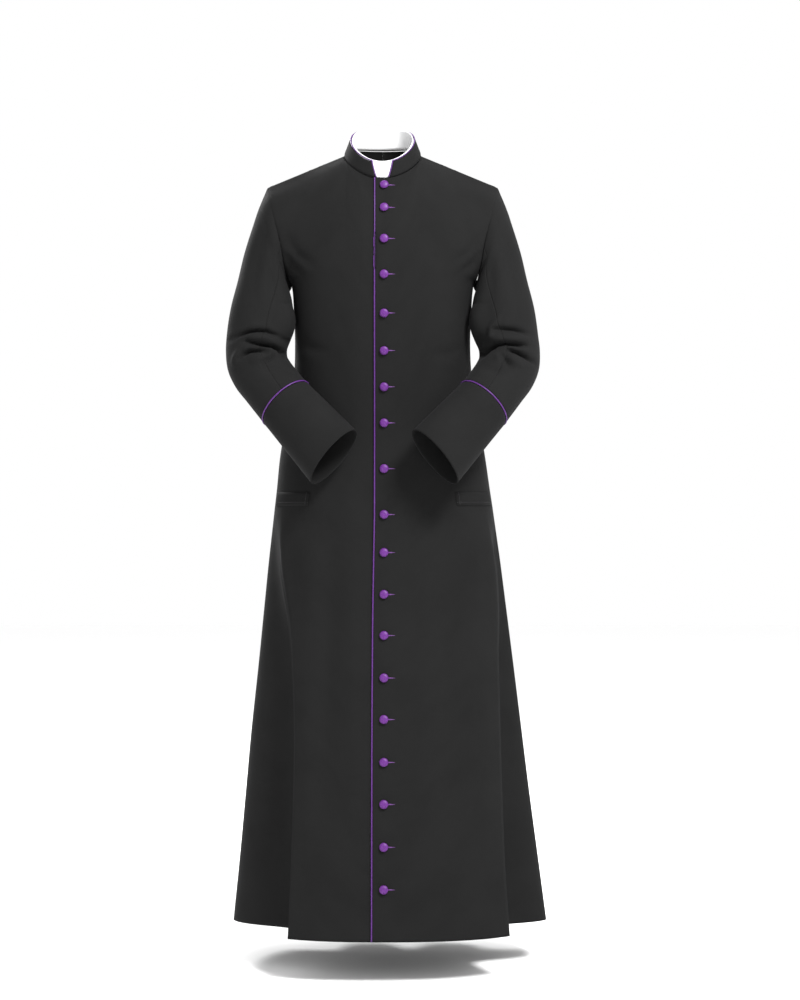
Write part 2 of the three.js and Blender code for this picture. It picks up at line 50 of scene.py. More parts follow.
# ---- sizes of the cloth ----
CLOTH = 1.5            # thickness of the body, sleeves and welts
SEAM = 0.03            # each edge stands this far back from its seam line
PIPING_RADIUS = 1.35
PIPING_ROOM = PIPING_RADIUS + 0.45
PIPING_SINK = 0.3      # the front edge's piping lies this far below the outside of the cloth
LAP_EDGE_X = 12.5      # the lapping front ends this far past the centre
LAP_SHARES = (0.4, 0.85, 0.96, 1.0)   # columns between the centre and that edge
UNDERLAP_INSET = 2.6   # the other front runs this far below it
UNDERLAP_FADE = [-1, 1, 2, 3], [1, 1, 0.5, 0]   # columns, and the share of the inset at each
COLUMNS = 14           # a quarter of the body, centre line to side seam
NECK_COLUMNS = 6
ROUNDNESS = 2.4
NECK = dict(half_width=73.5, front=80, back=70, z=-8.75, slope=35.5, sag=8.75)
YOKE_EASE = 0.4        # how much later the middle of a shoulder drops than its ends
SHOULDER_TIP = np.array([218.0, 4.0, -59.0])
CHEST_Z = -250
GRAIN = 7.0            # spacing of the points down the skirt
FINE_GRAIN = 3.5       # and over the chest, round the armholes and down the arms

Yoke = namedtuple("Yoke", "front back arm front_depth back_depth arm_x arm_front_y arm_back_y")
YOKE = [
    Yoke(0.00, 0.00, 0.00, 80, 70, 218, 4, 4),
    Yoke(0.15, 0.15, 0.15, 92, 86, 212, -36, 42),
    Yoke(0.30, 0.30, 0.32, 103, 99, 205, -56, 62),
    Yoke(0.45, 0.45, 0.48, 111, 108, 197, -64, 72),
    Yoke(0.60, 0.60, 0.64, 116, 113, 190, -65, 74),
    Yoke(0.75, 0.75, 0.80, 119, 114, 185, -56, 65),
    Yoke(0.88, 0.88, 0.93, 120, 112, 179, -33, 40),
]
Skirt = namedtuple("Skirt", "z right left front back crest_right crest_left")
SKIRT = [
    Skirt(CHEST_Z, 172, 172, 120, 109, 51, 51),
    Skirt(-300, 168, 168, 119, 102, 55, 55),
    Skirt(-360, 166, 166, 113, 95, 60, 60),
    Skirt(-430, 169, 170, 107, 94, 65, 65),
    Skirt(-500, 182, 182, 105, 103, 69, 69),
    Skirt(-570, 194, 194, 109, 114, 72, 72),
    Skirt(-639, 201, 204, 116, 123, 73, 73),
    Skirt(-665, 204, 208, 119, 127, 73, 73),
    Skirt(-760, 215, 222, 131, 141, 67, 74),
    Skirt(-860, 225, 235, 145, 157, 58, 71),
    Skirt(-970, 236, 249, 163, 175, 51.5, 66),
    Skirt(-1090, 249, 264, 181, 194, 46.5, 61.5),
    Skirt(-1210, 260, 279, 200, 213, 43.5, 57.7),
    Skirt(-1330, 271, 295, 220, 233, 41.3, 54.5),
    Skirt(-1450, 283, 311, 240, 252, 39.5, 52.5),
]
ROWS = len(YOKE) + len(SKIRT)
HEM_Z = SKIRT[-1].z
FOLD = dict(top_z=-665, depth=88, behind=17, behind_top=8, reach=1.15)
BackFold = namedtuple("BackFold", "top_z depth valley spread")
BACK_FOLDS = [BackFold(-560, 52, 6, 2.5), BackFold(-430, 74, 0, 2.0)]
CREST_COLUMN, VALLEY_COLUMN = 8, 11

Ring = namedtuple("Ring", "outer_x outer_z inner_x inner_z y depth")
ARM = [
    Ring(233, -94, 180, -264, 4, 73),
    Ring(247, -136, 174, -277, -2, 71),
    Ring(261, -184, 171.5, -291, -12, 69),
    Ring(273, -238, 168.5, -307, -25, 66),
    Ring(286, -293, 167, -326, -36, 62),
    Ring(293, -345, 172, -350, -43, 60),
    Ring(294, -378, 179, -369, -50, 59),
    Ring(289.5, -411, 178, -386, -61, 57),
    Ring(276, -440, 171, -398, -77, 54),
    Ring(252, -471, 159, -413, -96, 50),
    Ring(218, -513, 138.4, -437, -120, 47),
    Ring(188, -550, 108, -467, -139, 46.5),
    Ring(158, -587, 77.6, -497, -157, 46),
    Ring(128, -624, 47.2, -527, -174, 45),
]
ELBOW_START = 5
CUFF_START = 10
LEFT_FOREARM_OUT = 9
SLEEVE_FRONT_SEAM, SLEEVE_BACK_SEAM = 4, 10   # of the fourteen columns round the arm

COLLAR = dict(wall=2.0, height=40, notch_base=13, notch_top=21, top_gap=0.8,
              top_half_width=62, top_front=77, top_back=66, top_z=23, top_slope=41, top_sag=6)
INSERT = dict(wall=1.0, inside=3.4, above=5.4, foot=0.06, rows=8, columns=120)
WELT = dict(top_z=-639, bottom_z=-665, first=6, last=11, lift=0.35, edge=0.01)

BUTTON = dict(radius=8.2, rim=1.6, height=5.6, lift=1.3, x=3.5, turn_in=1.2)
BUTTONHOLE = dict(start=3, end=24, radius=1.25, taper=10, flat=0.7, stations=12)
BUTTON_Z = [-67, -111, -170, -236, -308, -377, -444, -511, -596, -681,
            -751, -828, -903, -980, -1055, -1132, -1207, -1283, -1358]


# ---- the body's surface ----
def neck_points(angle):
    a = np.radians(angle)
    depth = np.where(np.cos(a) > 0, NECK["front"], NECK["back"])
    z = NECK["z"] - NECK["slope"] * np.cos(a) - NECK["sag"] * np.cos(2 * a)
    return np.stack([NECK["half_width"] * np.sin(a), -depth * np.cos(a), z], -1)


def top_edge(quarter, side, column):
    share = np.clip(column / NECK_COLUMNS, 0, 1)
    points = neck_points(90 * share if quarter == "front" else 180 - 90 * share)
    along = np.clip((column - NECK_COLUMNS) / (COLUMNS - NECK_COLUMNS), 0, 1)[:, None]
    points = points * (1 - along) + SHOULDER_TIP * along
    return points * [side, 1, 1]


def section_radius(angle, depth, half_width):
    across = np.abs(np.sin(angle)) / half_width
    along = np.abs(np.cos(angle)) / depth
    return (across ** ROUNDNESS + along ** ROUNDNESS) ** (-1 / ROUNDNESS)


def yoke_ring(quarter, side, row, column):
    facing = -1 if quarter == "front" else 1
    depth = row.front_depth if quarter == "front" else row.back_depth
    arm_y = row.arm_front_y if quarter == "front" else row.arm_back_y
    half_width = row.arm_x / (1 - abs(arm_y / depth) ** ROUNDNESS) ** (1 / ROUNDNESS)
    angle = math.atan2(row.arm_x, facing * arm_y) * column / COLUMNS
    r = section_radius(angle, depth, half_width)
    return np.stack([side * r * np.sin(angle), facing * r * np.cos(angle), 0 * r], -1)


def yoke_points(quarter, side, row, column):
    top = top_edge(quarter, side, column)
    share = column / COLUMNS
    down = (row.front if quarter == "front" else row.back) * (1 - share) + row.arm * share
    points = yoke_ring(quarter, side, row, column)
    from_edge = top - yoke_ring(quarter, side, YOKE[0], column)
    points = points + from_edge * ((1 - down) ** 2)[:, None]
    drop = down ** (1 + YOKE_EASE * np.sin(np.pi * share))
    points[:, 2] = top[:, 2] * (1 - drop) + CHEST_Z * drop
    return points


def growth(z, top_z):
    return max(0.0, (top_z - z) / (top_z - HEM_Z))


def front_station(row, side, column):
    """Angle from the centre front, and how far the cloth is pushed in behind the front panel's fold."""
    grow = growth(row.z, FOLD["top_z"])
    crest = row.crest_left if side > 0 else row.crest_right
    fitted = min(1, (CHEST_Z - row.z) / (CHEST_Z - FOLD["top_z"]))
    folded = crest + FOLD["behind_top"] + (FOLD["behind"] - FOLD["behind_top"]) * grow
    valley = 90 * VALLEY_COLUMN / COLUMNS * (1 - fitted) + folded * fitted
    angle = np.interp(column, [0, CREST_COLUMN, VALLEY_COLUMN, COLUMNS], [0, crest, valley, 90])
    into = np.clip((column - CREST_COLUMN) / (VALLEY_COLUMN - CREST_COLUMN), 0, 1)
    out = np.clip((column - VALLEY_COLUMN) / (COLUMNS - VALLEY_COLUMN), 0, 1)
    push = np.where(out > 0, (1 + np.cos(np.pi * out ** FOLD["reach"])) / 2, np.sin(into * np.pi / 2))
    return angle, FOLD["depth"] * grow * push


def back_station(row, column):
    push = np.zeros_like(column)
    for fold in BACK_FOLDS:
        away = np.minimum(np.abs(column - fold.valley) / fold.spread, 1)
        push += fold.depth * growth(row.z, fold.top_z) * (1 + np.cos(np.pi * away)) / 2
    return 90 * column / COLUMNS, push


def skirt_points(quarter, side, row, column):
    front = quarter == "front"
    angle, push = front_station(row, side, column) if front else back_station(row, column)
    angle = np.radians(angle)
    r = section_radius(angle, row.front if front else row.back, row.left if side > 0 else row.right) - push
    facing = -1 if front else 1
    return np.stack([side * r * np.sin(angle), facing * r * np.cos(angle), np.full_like(r, row.z)], -1)


def body_rows(quarter, side, column):
    """The rows of control points at the given columns; below 0 they lie on the other half."""
    rows = []
    for index in range(ROWS):
        if index < len(YOKE):
            make = lambda s, c, row=YOKE[index]: yoke_points(quarter, s, row, c)
        else:
            make = lambda s, c, row=SKIRT[index - len(YOKE)]: skirt_points(quarter, s, row, c)
        over = column[index] < 0
        points = make(side, np.abs(column[index]))
        points[over, 0] *= -1
        rows.append(points)
    return np.array(rows)


def lap_column(side, index):
    column = np.ones((ROWS, 1))
    return LAP_EDGE_X / np.abs(body_rows("front", side, column)[index, 0, 0])


# ---- smooth surfaces through rows ----
def knots_of(rows):
    steps = np.linalg.norm(np.diff(rows, axis=0), axis=2).mean(axis=1)
    return np.concatenate([[0], np.cumsum(steps)])


def stations_along(knots, near_edge, fine_rows):
    """Positions counted in rows, on every row and between, with extra ones by the first edge."""
    out = list(near_edge)
    for i, step in enumerate(np.diff(knots)):
        n = max(1, round(step / (FINE_GRAIN if i < fine_rows else GRAIN)))
        out += [i + k / n for k in range(n)]
    return np.array(sorted(out) + [len(knots) - 1.0])


def through_rows(rows, knots, at):
    """Cubic curves through rows of points, the same for neighbours that share their end points."""
    slope = np.gradient(rows, knots, axis=0)
    i = np.minimum(at.astype(int), len(knots) - 2)
    t = (at - i)[:, None, None]
    h = np.diff(knots)[i][:, None, None]
    start = (2 * t ** 3 - 3 * t ** 2 + 1) * rows[i] + (t ** 3 - 2 * t ** 2 + t) * h * slope[i]
    end = (3 * t ** 2 - 2 * t ** 3) * rows[i + 1] + (t ** 3 - t ** 2) * h * slope[i + 1]
    return start + end


def fine_columns(first, last, per_column=5, near=(0.03, 0.1)):
    n = int(round((last - first) * per_column))
    inside = np.linspace(first, last, n + 1)
    ends = [first + d for d in near] + [last - d for d in near]
    return np.array(sorted(set(inside.tolist()) | set(ends)))


EDGE_ROWS = (0.04, 0.12)       # extra rows just below the shoulder seam and neckline
whole_quarter = np.tile(fine_columns(0, COLUMNS), (ROWS, 1))
BODY_KNOTS = knots_of(body_rows("front", 1, whole_quarter))
BODY_AT = stations_along(BODY_KNOTS, EDGE_ROWS, len(YOKE))


def body_grid(quarter, side, columns):
    return through_rows(body_rows(quarter, side, columns), BODY_KNOTS, BODY_AT)


def front_columns(side):
    """Fine columns of a front, row by row: the lapping edge keeps its distance from the centre."""
    rest = fine_columns(1, COLUMNS)
    rows = []
    for index in range(ROWS):
        # the lap's edge lies on the wearer's right for both fronts
        lap = [share * lap_column(-1, index) for share in LAP_SHARES]
        if side > 0:
            lapped = [-column for column in reversed(lap)] + [0, 0.25, 0.5, 0.75]
        else:
            lapped = [-1, -0.75, -0.5, -0.25, 0] + lap
        rows.append(np.concatenate([lapped, rest]))
    return np.array(rows)


# ---- the sleeves' surface ----
ARMHOLE_AT = BODY_AT[BODY_AT <= len(YOKE)]


def armhole_ring(side):
    edge = np.full((ROWS, 1), float(COLUMNS))
    keep = len(ARMHOLE_AT)
    front = body_grid("front", side, edge)[:keep, 0]
    back = body_grid("back", side, edge)[:keep, 0]
    return np.concatenate([front, back[-2:0:-1]])


def ring_centre(ring):
    return np.array([(ring.outer_x + ring.inner_x) / 2, ring.y, (ring.outer_z + ring.inner_z) / 2])


def arm_ring(index, side):
    ring = ARM[index]
    along = ring_centre(ARM[min(index + 1, len(ARM) - 1)]) - ring_centre(ARM[max(index - 1, 0)])
    along /= np.linalg.norm(along)
    width = np.array([ring.outer_x - ring.inner_x, 0, ring.outer_z - ring.inner_z]) / 2
    across = width / np.linalg.norm(width)
    forward = np.array([0.0, -1.0, 0.0])
    forward -= forward @ along * along
    forward -= forward @ across * across
    forward *= ring.depth / np.linalg.norm(forward)
    half = np.pi * ARMHOLE_AT / len(YOKE)
    angle = np.concatenate([half, 2 * np.pi - half[-2:0:-1]])
    points = ring_centre(ring) + np.cos(angle)[:, None] * width + np.sin(angle)[:, None] * forward
    bent = np.clip((index - ELBOW_START) / (CUFF_START - ELBOW_START), 0, 1)
    points[:, 0] += LEFT_FOREARM_OUT * bent if side > 0 else 0
    return points * [side, 1, 1]


def arm_surface(side):
    rings = np.array([armhole_ring(side)] + [arm_ring(i, side) for i in range(len(ARM))])
    knots = knots_of(rings)
    at = stations_along(knots, EDGE_ROWS, len(ARM))
    return through_rows(rings, knots, at), at


# ---- pieces as grids of points ----
TO_MEET = 20           # points on one twentieth of a millimetre are shared
STEEPEST_MITRE = 0.3   # cosine of the turn at a seam; past it the wall goes straight in
DIP = dict(depth=0.8, flat_depth=0.04, width=2.0, swell=0.3, swell_at=7, swell_width=4)


class Piece:
    """Rows of points; the outside is where (next column) x (next row) points, times facing."""

    def __init__(self, name, grid, facing, gaps, closed=False, wall=CLOTH, inset=0.0):
        self.name, self.grid, self.facing, self.gaps = name, grid, facing, gaps
        self.closed, self.wall, self.inset = closed, wall, inset


def grid_normals(piece):
    grid = piece.grid
    if piece.closed:
        across = np.roll(grid, -1, axis=1) - np.roll(grid, 1, axis=1)
    else:
        across = np.gradient(grid, axis=1)
    normal = np.cross(across, np.gradient(grid, axis=0)) * piece.facing
    return normal / np.maximum(np.linalg.norm(normal, axis=2, keepdims=True), 1e-9)


def shared_normals(pieces):
    """Unit normals of each piece, averaged where pieces share a point."""
    own = [grid_normals(p).reshape(-1, 3) for p in pieces]
    keys = np.round(np.concatenate([p.grid.reshape(-1, 3) for p in pieces]) * TO_MEET).astype(np.int64)
    _, group = np.unique(keys, axis=0, return_inverse=True)
    group = group.ravel()
    total = np.zeros((group.max() + 1, 3))
    np.add.at(total, group, np.concatenate(own))
    total /= np.maximum(np.linalg.norm(total, axis=1, keepdims=True), 1e-9)
    out, start = [], 0
    for piece, mine in zip(pieces, own):
        mean = total[group[start:start + len(mine)]]
        out.append((mine.reshape(piece.grid.shape), mean.reshape(piece.grid.shape)))
        start += len(mine)
    return out


def inward_directions(own, shared):
    turn = np.sum(own * shared, axis=2, keepdims=True)
    return np.where(turn > STEEPEST_MITRE, -shared / np.maximum(turn, STEEPEST_MITRE), -own)


def pulled_back(piece):
    grid = piece.grid.copy()

    def pull(edge, inner, gap):
        if not gap:
            return
        line = piece.grid[edge]
        run = np.roll(line, -1, 0) - np.roll(line, 1, 0) if piece.closed else np.gradient(line, axis=0)
        run /= np.maximum(np.linalg.norm(run, axis=1, keepdims=True), 1e-9)
        inward = piece.grid[inner] - line
        inward -= np.sum(inward * run, axis=1, keepdims=True) * run
        grid[edge] += gap * inward / np.maximum(np.linalg.norm(inward, axis=1, keepdims=True), 1e-9)

    everything = slice(None)
    pull((0, everything), (1, everything), piece.gaps.get("top"))
    pull((-1, everything), (-2, everything), piece.gaps.get("bottom"))
    if not piece.closed:
        pull((everything, 0), (everything, 1), piece.gaps.get("first"))
        pull((everything, -1), (everything, -2), piece.gaps.get("last"))
    return grid


def edge_distance(piece):
    """Distance of each point from each sewn edge, along the cloth."""
    rows = np.linalg.norm(np.diff(piece.grid, axis=0), axis=2)
    columns = np.linalg.norm(np.diff(piece.grid, axis=1), axis=2)
    pad = lambda a, axis: np.insert(np.cumsum(a, axis), 0, 0, axis=axis)
    down, across = pad(rows, 0), pad(columns, 1)
    return {"top": down, "bottom": down[-1:] - down, "first": across, "last": across[:, -1:] - across}


def seam_dip(piece):
    """The cloth turns in at its sewn edges and swells a little beside them.

    A sleeve's long seams are pressed flat."""
    away = edge_distance(piece)
    dip = np.zeros(piece.grid.shape[:2])
    for edge, gap in piece.gaps.items():
        if gap and not (piece.closed and edge in ("first", "last")):
            pressed = piece.name.startswith("sleeve") and edge in ("first", "last")
            swell = DIP["swell"] * np.exp(-((away[edge] - DIP["swell_at"]) / DIP["swell_width"]) ** 2)
            turned = np.exp(-(away[edge] / DIP["width"]) ** 2) - swell
            dip += DIP["flat_depth" if pressed else "depth"] * turned
    return dip[..., None]


# ---- meshes ----
def mesh_object(name, points, faces, material, weave=None):
    mesh = bpy.data.meshes.new(name)
    mesh.from_pydata((np.asarray(points) * MM).tolist(), [], faces)
    mesh.polygons.foreach_set("use_smooth", [True] * len(mesh.polygons))
    if weave is not None:
        layer = mesh.attributes.new("weave", "FLOAT_VECTOR", "POINT")
        layer.data.foreach_set("vector", (np.asarray(weave) * MM).ravel())
    mesh.materials.append(material)
    mesh.validate()
    piece = bpy.data.objects.new(SEWN + name, mesh)
    bpy.context.collection.objects.link(piece)
    return piece


def wall_faces(rows, columns, closed, facing):
    """Faces of a closed wall: outer grid, inner grid and the edges between them."""
    i, j = np.meshgrid(np.arange(rows - 1), np.arange(columns if closed else columns - 1), indexing="ij")
    i, j, k = i.ravel(), j.ravel(), ((j + 1) % columns).ravel()
    at = lambda r, c, layer: layer * rows * columns + r * columns + c
    outer = np.stack([at(i, j, 0), at(i, k, 0), at(i + 1, k, 0), at(i + 1, j, 0)], -1)
    inner = np.stack([at(i, j, 1), at(i + 1, j, 1), at(i + 1, k, 1), at(i, k, 1)], -1)
    c = np.arange(columns if closed else columns - 1)
    d = (c + 1) % columns
    last = rows - 1
    top = np.stack([at(0, c, 1), at(0, d, 1), at(0, d, 0), at(0, c, 0)], -1)
    bottom = np.stack([at(last, c, 0), at(last, d, 0), at(last, d, 1), at(last, c, 1)], -1)
    faces = [outer, inner, top, bottom]
    if not closed:
        r, e = np.arange(rows - 1), columns - 1
        faces.append(np.stack([at(r, 0, 1), at(r, 0, 0), at(r + 1, 0, 0), at(r + 1, 0, 1)], -1))
        faces.append(np.stack([at(r, e, 0), at(r, e, 1), at(r + 1, e, 1), at(r + 1, e, 0)], -1))
    faces = np.concatenate(faces)
    return (faces if facing > 0 else faces[:, ::-1]).tolist()


def weave_grid(grid):
    """Where each point lies on the flat cloth: across its row, and down its column."""
    across = np.linalg.norm(np.diff(grid, axis=1), axis=2)
    down = np.linalg.norm(np.diff(grid, axis=0), axis=2)
    x = np.insert(np.cumsum(across, 1), 0, 0, axis=1)
    z = np.insert(np.cumsum(down, 0), 0, 0, axis=0)
    return np.stack([x, z, 0 * x], -1)


def cloth_object(piece, own, shared, material):
    inward = inward_directions(own, shared)
    outer = pulled_back(piece) + inward * (piece.inset + seam_dip(piece))
    inner = outer + inward * piece.wall
    piece.outer = outer
    points = np.concatenate([outer.reshape(-1, 3), inner.reshape(-1, 3)])
    weave = weave_grid(piece.grid).reshape(-1, 3)
    rows, columns = piece.grid.shape[:2]
    faces = wall_faces(rows, columns, piece.closed, piece.facing)
    piece.object = mesh_object(piece.name, points, faces, material, np.concatenate([weave, weave]))
    return piece.object


def cord_parts(path, u, v, closed=False, radius=PIPING_RADIUS, sides=12):
    """Points, faces and weave of a round cord; u and v are the directions of its section at each point."""
    angle = 2 * np.pi * np.arange(sides) / sides
    ring = np.cos(angle)[None, :, None] * u[:, None] + np.sin(angle)[None, :, None] * v[:, None]
    n = len(path)
    radii = np.broadcast_to(radius, n)
    points = path[:, None] + radii[:, None, None] * ring
    run = np.insert(np.cumsum(np.linalg.norm(np.diff(path, axis=0), axis=1)), 0, 0)
    weave = np.zeros((n, sides, 3))
    weave[..., 0], weave[..., 1] = angle * radii.mean(), run[:, None]
    faces = []
    for i in range(n if closed else n - 1):
        for k in range(sides):
            a, b = i * sides + k, i * sides + (k + 1) % sides
            c, d = (i + 1) % n * sides + (k + 1) % sides, (i + 1) % n * sides + k
            faces.append((a, b, c, d))
    if not closed:
        faces += [tuple(range(sides))[::-1], tuple((n - 1) * sides + k for k in range(sides))]
    if np.cross(ring[0, 0], ring[0, 1]) @ (path[1] - path[0]) < 0:
        faces = [f[::-1] for f in faces]
    return points.reshape(-1, 3), faces, weave.reshape(-1, 3)


def joined(name, parts, material):
    """One mesh of several parts, each its points, faces and weave."""
    faces, start = [], 0
    for points, part_faces, _ in parts:
        faces += [tuple(k + start for k in face) for face in part_faces]
        start += len(points)
    return mesh_object(name, np.concatenate([p[0] for p in parts]), faces, material,
                       np.concatenate([p[2] for p in parts]))


# ---- creases ----
# Soft troughs (depth above 0) and ridges (below 0), drawn on the front or back of the cloth by the
# x and z of their paths. A crease with a taper of 1 is a spindle; less keeps it deep nearer its ends.
DEEP = 9.0             # a crease deeper than this has a lip of cloth sagging over it
LIP, LIP_SAG = 0.25, 0.4   # how far the lip stands out and sags, as shares of the crease's depth
CREASE_END = 0.02      # a path's very ends are as deep as at this share of its length
FACING_FULL = 0.35     # cloth that faces this much forwards or back takes a crease in full
Crease = namedtuple("Crease", "on face depth width taper path")
CREASES = [
    # the wearer's right elbow
    Crease("arm_right", "front", 14.0, 6, 0.8,
           [(-284, -355), (-268, -345), (-250, -338), (-232, -336), (-214, -338), (-190, -351)]),
    Crease("arm_right", "front", -7.0, 5, 0.7, [(-262, -352), (-236, -348), (-214, -350), (-192, -359)]),
    Crease("arm_right", "front", 17.5, 5.5, 0.4,
           [(-251, -357), (-236, -359), (-220, -361), (-204, -364), (-192, -369), (-172, -390)]),
    Crease("arm_right", "front", -7.0, 5, 0.7, [(-260, -369), (-236, -367), (-212, -369), (-192, -383)]),
    Crease("arm_right", "front", 14.0, 5.5, 0.6,
           [(-271, -396), (-258, -381), (-246, -374), (-232, -373), (-206, -375)]),
    Crease("arm_right", "front", 9.9, 6, 0.8, [(-199, -379), (-212, -390), (-228, -404)]),
    Crease("arm_right", "front", -6.8, 9, 0.8, [(-249, -396), (-226, -392), (-210, -402)]),
    Crease("arm_right", "front", -6.0, 8, 0.8, [(-262, -372), (-270, -390), (-276, -410)]),
    Crease("arm_right", "front", 5.2, 9, 0.8, [(-226, -410), (-190, -413), (-164, -416)]),
    Crease("arm_right", "back", 8.4, 10, 0.8, [(-290, -360), (-250, -352), (-205, -362)]),
    Crease("arm_right", "back", 11.2, 9, 0.7, [(-282, -402), (-240, -388), (-195, -392)]),
    Crease("arm_right", "back", -5.6, 10, 0.8, [(-286, -380), (-244, -370), (-200, -376)]),
    # the wearer's left elbow
    Crease("arm_left", "front", 11.0, 6, 0.8, [(204, -338), (223, -334), (246, -335), (276, -345)]),
    Crease("arm_left", "front", -8.5, 6, 0.6,
           [(224, -306), (204, -334), (203, -349), (222, -351), (276, -355)]),
    Crease("arm_left", "front", 17.5, 5.5, 0.4,
           [(174, -392), (197, -370), (213, -361), (229, -359), (245, -361), (266, -366)]),
    Crease("arm_left", "front", -7.0, 5, 0.7, [(216, -370), (242, -369), (274, -374)]),
    Crease("arm_left", "front", 14.8, 5.5, 0.6, [(226, -371), (250, -376), (266, -384), (284, -399)]),
    Crease("arm_left", "front", -8.2, 8, 0.8, [(204, -388), (236, -392), (262, -408)]),
    Crease("arm_left", "front", 11.5, 6, 0.8, [(217, -380), (227, -392), (239, -406)]),
    Crease("arm_left", "front", 6.0, 9, 0.8, [(180, -409), (212, -416), (246, -410)]),
    Crease("arm_left", "back", 8.4, 10, 0.8, [(288, -352), (246, -346), (202, -356)]),
    Crease("arm_left", "back", 10.5, 9, 0.7, [(286, -398), (244, -386), (198, -388)]),
    Crease("arm_left", "back", -5.6, 10, 0.8, [(284, -376), (246, -366), (204, -372)]),
    # the upper sleeves swell against the body
    Crease("arm_right", "front", -10.0, 14, 0.6, [(-178, -286), (-176, -310), (-178, -356)]),
    Crease("arm_left", "front", -10.0, 14, 0.6, [(178, -286), (176, -310), (178, -352)]),
    # upper sleeves, long soft drags from the shoulder
    Crease("arm_right", "front", 5.2, 14, 0.9, [(-222, -110), (-236, -190), (-246, -290)]),
    Crease("arm_right", "front", 4.5, 12, 0.9, [(-204, -170), (-206, -240), (-196, -315)]),
    Crease("arm_left", "front", 5.2, 14, 0.9, [(222, -118), (238, -200), (252, -285)]),
    Crease("arm_left", "front", 3.9, 12, 0.9, [(202, -180), (203, -250), (192, -320)]),
    Crease("arm_right", "back", 6.2, 15, 0.9, [(-224, -120), (-240, -210), (-250, -320)]),
    Crease("arm_left", "back", 5.6, 15, 0.9, [(222, -126), (240, -215), (252, -310)]),
    # the chest by the armholes
    Crease("body", "front", 5.9, 7, 0.8, [(-186, -190), (-172, -214), (-146, -236)]),
    Crease("body", "front", 4.2, 10, 0.8, [(-182, -158), (-160, -196), (-124, -222)]),
    Crease("body", "front", 5.2, 8, 0.8, [(186, -184), (172, -210), (142, -236)]),
    Crease("body", "front", 3.6, 10, 0.8, [(184, -156), (164, -190), (132, -214)]),
    # the waist, slight drags under the elbows
    Crease("body", "front", 3.4, 9, 0.8, [(-158, -352), (-130, -372), (-96, -378)]),
    Crease("body", "front", 2.9, 9, 0.8, [(156, -362), (128, -380), (92, -384)]),
    # the back, across the waist and down from the shoulder blades
    Crease("body", "back", 6.5, 11, 0.8, [(-176, -220), (-140, -262), (-96, -290)]),
    Crease("body", "back", 6.0, 11, 0.8, [(176, -214), (138, -258), (90, -292)]),
    Crease("body", "back", 5.7, 10, 0.8, [(-150, -392), (-95, -404), (-40, -398)]),
    Crease("body", "back", 4.9, 10, 0.8, [(148, -404), (100, -416), (48, -412)]),
    Crease("body", "back", 4.2, 11, 0.8, [(-120, -432), (-70, -442), (-22, -438)]),
    Crease("body", "back", -3.4, 14, 0.8, [(130, -384), (60, -394), (-60, -380)]),
    # the long fall of the skirt
    Crease("body", "front", 5.9, 26, 0.9, [(-92, -560), (-98, -860), (-112, -1300)]),
    Crease("body", "front", -4.5, 24, 0.9, [(-142, -640), (-140, -920), (-138, -1380)]),
    Crease("body", "front", 5.2, 28, 0.9, [(96, -600), (112, -900), (126, -1330)]),
    Crease("body", "front", -4.5, 26, 0.9, [(160, -660), (176, -960), (190, -1400)]),
    Crease("body", "front", -5.2, 12, 0.8, [(-188, -690), (-181, -790), (-170, -900)]),
    Crease("body", "front", -5.2, 12, 0.8, [(196, -700), (208, -800), (215, -930)]),
    Crease("body", "back", 7.8, 26, 0.9, [(-108, -560), (-130, -900), (-150, -1380)]),
    Crease("body", "back", 7.0, 24, 0.9, [(112, -540), (138, -880), (165, -1390)]),
]


def along_path(x, z, path):
    """Signed distance from a path of straight stretches, above 0 over it, and the share of its length
    at the nearest point."""
    path = np.array(path, float)
    lengths = np.linalg.norm(np.diff(path, axis=0), axis=1)
    nearest, signed, share = np.full(x.shape, np.inf), np.zeros(x.shape), np.zeros(x.shape)
    run = 0.0
    for (ax, az), (bx, bz), length in zip(path[:-1], path[1:], lengths):
        t = np.clip(((x - ax) * (bx - ax) + (z - az) * (bz - az)) / length ** 2, 0, 1)
        over = z - az - t * (bz - az)
        away = np.hypot(x - ax - t * (bx - ax), over)
        closer = away < nearest
        nearest = np.where(closer, away, nearest)
        signed = np.where(closer, np.copysign(away, over), signed)
        share = np.where(closer, (run + t * length) / lengths.sum(), share)
        run += length
    return signed, share


def press_creases(piece, shared):
    """Moves the cloth in along its normals where it is creased; over a deep crease it also sags down."""
    kind = "body" if piece.name.startswith(("front", "back")) else "arm_" + piece.name.split("_")[-1]
    x, z = piece.grid[..., 0], piece.grid[..., 2]
    move, sag = np.zeros(x.shape), np.zeros(x.shape)
    for crease in CREASES:
        if crease.on != kind:
            continue
        facing = -shared[..., 1] if crease.face == "front" else shared[..., 1]
        away, share = along_path(x, z, crease.path)
        fade = np.sin(np.pi * np.clip(share, CREASE_END, 1 - CREASE_END)) ** crease.taper
        fade = fade * np.clip(facing / FACING_FULL, 0, 1)
        move += crease.depth * np.exp(-(away / crease.width) ** 2) * fade
        if crease.depth > DEEP:
            lip = np.exp(-((away - crease.width) / crease.width) ** 2)
            move -= LIP * crease.depth * lip * fade
            sag += LIP_SAG * crease.depth * lip * fade
    piece.grid = piece.grid - shared * move[..., None] - [0, 0, 1] * sag[..., None]


# ---- materials ----
def srgb(text):
    """The linear colour of an sRGB hex value."""
    value = [int(text[i:i + 2], 16) / 255 for i in (1, 3, 5)]
    return tuple(v / 12.92 if v <= 0.04045 else ((v + 0.055) / 1.055) ** 2.4 for v in value) + (1.0,)


